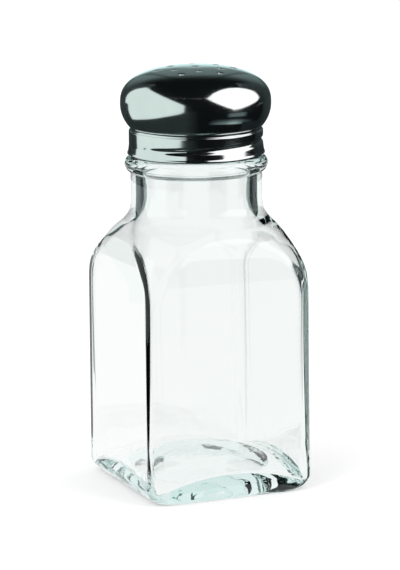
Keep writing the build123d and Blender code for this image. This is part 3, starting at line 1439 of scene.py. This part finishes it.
    def world(self) -> None:
        """White all round for the camera, the glass and the metal; softer for lighting."""
        world = bpy.data.worlds.new("studio")
        bpy.context.scene.world = world
        sketch = NodeSketch(world)
        rays = sketch.node("ShaderNodeLightPath").outputs
        seen = sketch.math("MAXIMUM", rays["Is Camera Ray"], rays["Is Glossy Ray"])
        seen = sketch.math("MAXIMUM", seen, rays["Is Transmission Ray"])
        strength = sketch.spread(seen, self.world_light, 1.0, (0.0, 1.0))
        background = sketch.node("ShaderNodeBackground", Color=WHITE, Strength=strength)
        sketch.close(background.outputs["Background"])

    def lamp(self, name: str, place: Triple, size: float, power: float) -> None:
        """Adds a large soft lamp aimed at the shaker, not mirrored in it.

        Args:
            name: Name of the lamp.
            place: Where it hangs.
            size: Width of its disc.
            power: Its power, in watts.
        """
        data = bpy.data.lights.new(name, "AREA")
        data.shape = "DISK"
        data.size = size
        data.energy = power
        lamp = add_object(name, data)
        lamp.location = place
        toward = Vector(self.lamp_aim) - Vector(place)
        lamp.rotation_euler = toward.to_track_quat("-Z", "Y").to_euler()
        lamp.visible_glossy = False
        lamp.visible_transmission = False

    def build(self) -> None:
        """Builds the whole studio."""
        self.floor()
        self.world()
        self.lamp("lamp_left", (-1.1, -0.6, 1.2), 1.0, 6.0)
        self.lamp("lamp_right", (0.8, -1.3, 1.4), 0.8, 5.0)
        self.room()
        self.mirror_floor()
        self.collars()
        self.softbox_left()
        self.softbox_right()
        self.glass_cards()

    def room(self) -> None:
        """Dim walls and ceiling that the metal mirrors, pale at the back."""
        sides = both_ways(((112, 0.006), (130, 0.03), (150, 0.05), (168, 0.055)))
        room = Glow("card_room", self.room_tint, sides)
        self.wall("room", (-180, 180), self.wall_reach, room)
        upper = ((0.42, 0.2), (0.8, 0.17), (1.05, 0.05), (1.3, 0.01))
        for name, turns, reach, low in (
            ("back", ((148, 0.25), (165, 1.0)), 1.3, ((0.05, 0.08), (0.28, 0.1))),
            ("back_middle", ((170, 0.3), (173, 1.0)), 1.25, ((0.05, 1.0), (0.22, 1.0), (0.34, 0.3))),
        ):
            pale = Glow(f"card_{name}", self.room_tint, both_ways(turns), (), low + upper)
            start = turns[0][0]
            self.wall(f"{name}_left", (-180, -start), reach, pale)
            self.wall(f"{name}_right", (start, 180), reach, pale)
        black = Glow("card_black", (0.004, 0.006, 0.006))
        whole = (0.0, self.wall_reach)
        self.sector("ceiling_black", (-180, 180), whole, self.ceiling, black)

    def dusk(self) -> Glow:
        """Finish of the dim floor, darker to the right."""
        return Glow("card_dusk", self.room_tint, ((-15, 0.03), (5, 0.006)))

    def mirror_floor(self) -> None:
        """Dim floor round the front, left white where only the flat glass mirrors it."""
        dusk, level = self.dusk(), self.far_level
        span = (self.inner_reach, self.wall_reach)
        self.sector("floor_front", self.front_turns, span, self.dusk_level, dusk)
        for hand, start in zip((-1, 1), self.front_turns):
            turn, aside = self.strip_turn * hand, -hand * self.clear_strip
            strip = [self.beside(turn, aside, along, level) for along in (self.strip_start, self.wall_reach)]
            edge = [self.spot(start, reach, level) for reach in (self.front_start, self.wall_reach)]
            self.card(f"floor_far_{hand}", (strip, edge), dusk)
        turns = ((20, 0.0), (40, 0.16), (50, 0.22), (62, 0.5), (70, 0.5), (84, 0.2), (104, 0.05))
        reaches = (
            (0.03, 0.0), (0.045, 0.4), (0.06, 1.0), (0.075, 0.6),
            (0.1, 0.75), (0.125, 1.0), (0.15, 0.5), (0.2, 0.02),
        )
        near = Glow("card_soft_near", self.room_tint, turns, reaches)
        span = (self.inner_reach, 0.2)
        self.sector("floor_soft_near", (20, 104), span, self.soft_level, near)
        turns = ((48, 0.0), (55, 0.15), (76, 0.15), (86, 0.0))
        far = Glow("card_soft_far", self.room_tint, turns)
        self.sector("floor_soft_far", (48, 86), (0.26, 0.5), self.soft_level, far)

    def collars(self) -> None:
        """Dim level cards just under the cap, so that its underside mirrors no bright floor."""
        start, end = self.collar_reach, self.collar_end
        low, level = self.collar_levels
        facing, aside = self.collar_side
        self.sector("collar_low", (-118, 118), (start, 0.036), low, self.dusk())
        turns = ((-168, 0.05), (-140, 0.045), (-112, 0.03), (100, 0.015), (120, 0.03), (150, 0.05))
        side = Glow("card_side", self.room_tint, turns)
        for hand, ring in ((-1, (-168, -70)), (1, (60, 168))):
            self.sector(f"collar_ring_{hand}", ring, (start, 0.032), level, side)
            rows = [[self.beside(facing * hand, -aside * hand, along, level) for along in (0.02, end)]]
            for turn in self.collar_turns:
                rows.append([self.spot(turn * hand, reach, level) for reach in (start, end)])
            for step, pair in enumerate(zip(rows, rows[1:])):
                self.card(f"collar_side_{hand}_{step}", pair, side)

    def softbox_left(self) -> None:
        """Wide upright softbox close by on the left, standing on the floor."""
        away, facing = self.left_box
        pale = Glow("softbox_pale", (0.76, 0.88, 0.84))
        low, high = (
            [self.beside(facing, side * away, away, level) for side in self.left_box_sides]
            for level in self.left_box_levels
        )
        self.card("softbox_left", (low, high), pale)

    def softbox_right(self) -> None:
        """Softbox leaning over the cap from the right."""
        white = Glow("softbox_white", (1.3, 1.3, 1.3))
        corners = [self.leaning(turn, lift, self.box_away) for turn, lift in self.box_corners]
        count = len(corners)
        middle = sum(corners, Vector((0, 0, 0))) / count
        faces = [(step, (step + 1) % count, count) for step in range(count)]
        self.panel("softbox_right", corners + [middle], faces, white)

    def glass_cards(self) -> None:
        """Dark cards that the edges of the glass pick up, one between each pair of views.

        A strip of the floor stays white in the middle, where the flat sides mirror it.
        """
        fade, dim = self.edge_fade, self.glass_dark
        for side in range(4):
            middle = 90.0 * side - self.strip_turn
            left, right = middle - self.edge_half, middle + self.edge_half
            edges = ((left, 1.0), (left + fade, dim), (right - fade, dim), (right, 1.0))
            dark = Glow(f"card_edge_{side}", self.glass_tint, edges)
            near, far = (self.strip_start, self.edge_reach), (self.edge_reach, self.wall_reach)
            self.wall(f"edge_dark_{side}", (left, right), self.wall_reach, dark, Sees.GLASS)
            self.sector(f"edge_floor_{side}", (left, right), far, self.far_level, dark, Sees.GLASS)
            for hand, turn in ((-1, left), (1, right)):
                aside = hand * self.clear_strip
                strip = [self.beside(middle, aside, along, self.far_level) for along in near]
                edge = [self.spot(turn, reach, self.near_level) for reach in (self.edge_start, near[1])]
                self.card(f"edge_near_{side}_{hand}", (strip, edge), dark, Sees.GLASS)


def main() -> None:
    """Builds the studio and every piece, in order."""
    logging.basicConfig(level=logging.INFO, format="%(name)s: %(message)s")
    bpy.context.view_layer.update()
    scene = bpy.context.scene
    scene.view_settings.view_transform = "Standard"
    scene.cycles.max_bounces = 24
    scene.cycles.glossy_bounces = 9
    scene.cycles.transmission_bounces = 14
    camera = Camera()
    camera.build()
    Studio(camera.heading).build()
    thread = ThreadPath()
    GlassJar(thread).build()
    ShakerCap(thread).build()
    SealingRing().build()


if __name__ == "__main__":
    main()
